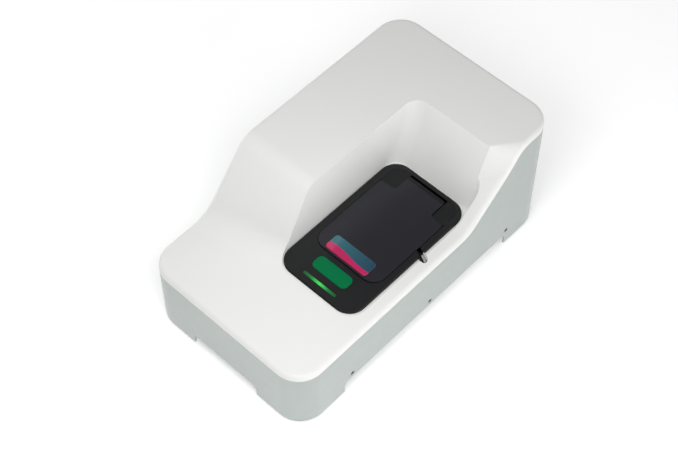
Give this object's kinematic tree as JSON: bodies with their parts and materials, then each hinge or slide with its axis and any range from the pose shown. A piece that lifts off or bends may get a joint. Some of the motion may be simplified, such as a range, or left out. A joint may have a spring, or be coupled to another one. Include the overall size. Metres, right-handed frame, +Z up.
{
  "type": "particle size analyzer",
  "caption": "Benchtop light-scattering particle size analyzer with a white cover over a silver skirt, and a black hinged lid over its cell holder.",
  "frame": {"origin": "on the table, under the middle of the housing's plan", "axes": "+X to the right of someone who faces the front, +Y towards the back, +Z up"},
  "size_m": [0.322, 0.565, 0.245],
  "materials": {
    "white_plastic": "moulded matt",
    "silver_skin": "satin",
    "black_plastic": "fine texture",
    "black_gloss": "gloss",
    "green_plastic": "gloss",
    "light_pipe": "clear, lit",
    "label_plate": "printed, gloss",
    "rubber": "matt",
    "steel": "satin",
    "dark_steel": "blackened",
    "aluminium": "satin",
    "black_aluminium": "anodised",
    "sheet_metal": "plain",
    "brass": "satin",
    "glass": "clear",
    "mirror": "polished",
    "board": "solder mask",
    "ceramic": "matt"
  },
  "bodies": {
    "housing": {"top_cover": "white_plastic", "side_skirt": "silver_skin", "skirt_screws": "dark_steel", "lid_bezel": "black_plastic", "hinge_blocks": "black_plastic", "light_bar": "light_pipe", "rear_panel": "sheet_metal", "panel_screws": "dark_steel", "power_inlet": "black_plastic", "data_socket": "steel", "switch_frame": "black_plastic", "purge_port": "brass", "rubber_feet": "rubber", "foot_screws": "steel", "hinge_pin": "steel", "catch_plates": "steel", "cell_bay_tray": "black_plastic", "indicator_board": "board", "board_screws": "steel", "button_switch": "black_plastic", "button_springs": "steel", "base_tray": "sheet_metal", "bench_isolators": "rubber", "optical_bench": "black_aluminium", "laser_tube": "aluminium", "laser_clamps": "black_aluminium", "laser_supply": "sheet_metal", "mirror_mounts": "black_aluminium", "steering_mirrors": "mirror", "shutter_solenoid": "steel", "attenuator_motor": "dark_steel", "splitter_mount": "black_aluminium", "beam_splitter": "glass", "lens_frame": "aluminium", "lens_motor": "dark_steel", "cell_block": "aluminium", "thermoelectric_module": "ceramic", "heat_sink": "aluminium", "back_detector": "black_aluminium", "forward_detector": "black_aluminium", "filter_motor": "dark_steel", "electronics_shelf": "sheet_metal", "main_board": "board", "board_standoffs": "brass", "board_parts": "black_plastic", "fan_frame": "black_plastic"},
    "lid": {"lid_shell": "black_gloss", "lid_liner": "black_plastic", "lid_seal": "rubber", "lid_magnets": "steel", "lid_label": "label_plate"},
    "button": {"status_button": "green_plastic"},
    "attenuator": {"attenuator_wheel": "black_aluminium"},
    "filters": {"filter_wheel": "black_aluminium"},
    "carriage": {"lens_carriage": "black_aluminium", "measuring_lens": "glass"},
    "screw": {"lead_screw": "steel"},
    "shutter": {"shutter_flag": "black_aluminium"},
    "fan": {"fan_rotor": "black_plastic"},
    "rocker": {"power_rocker": "black_gloss"}
  },
  "joints": [
    {"name": "lid_hinge", "type": "hinge", "parent": "housing", "child": "lid", "pos_m": [0.0575, 0.1025, 0.1275], "axis": [-1, 0, 0], "range_deg": [0, 100]},
    {"name": "button_press", "type": "slide", "parent": "housing", "child": "button", "axis": [0, 0, -1], "range_m": [0, 0.002], "stiffness_N_per_m": 800, "springref_m": -0.0005, "deforming": ["button_springs"]},
    {"name": "attenuator_turn", "type": "hinge", "parent": "housing", "child": "attenuator", "pos_m": [-0.052, 0.0335, 0.092], "axis": [1, 0, 0], "continuous": true},
    {"name": "filter_turn", "type": "hinge", "parent": "housing", "child": "filters", "pos_m": [0, 0.1175, 0.084], "axis": [1, 0, 0], "continuous": true},
    {"name": "lens_slide", "type": "slide", "parent": "housing", "child": "carriage", "axis": [-1, 0, 0], "range_m": [0, 0.012]},
    {"name": "screw_turn", "type": "hinge", "parent": "housing", "child": "screw", "pos_m": [0, 0.0075, 0.07], "axis": [1, 0, 0], "range_deg": [0, 1080.05]},
    {"name": "shutter_swing", "type": "hinge", "parent": "housing", "child": "shutter", "pos_m": [-0.046, -0.1125, 0.069], "axis": [0, -1, 0], "range_deg": [0, 45]},
    {"name": "fan_spin", "type": "hinge", "parent": "housing", "child": "fan", "pos_m": [0.06, 0.26, 0.13], "axis": [0, 1, 0], "continuous": true},
    {"name": "rocker_tilt", "type": "hinge", "parent": "housing", "child": "rocker", "pos_m": [-0.004, 0.279, 0.075], "axis": [0, 0, 1], "range_deg": [0, 12]}
  ],
  "couplings": [
    {"joint": "screw_turn", "follows": "lens_slide", "rad_per_m": 1570.8}
  ]
}
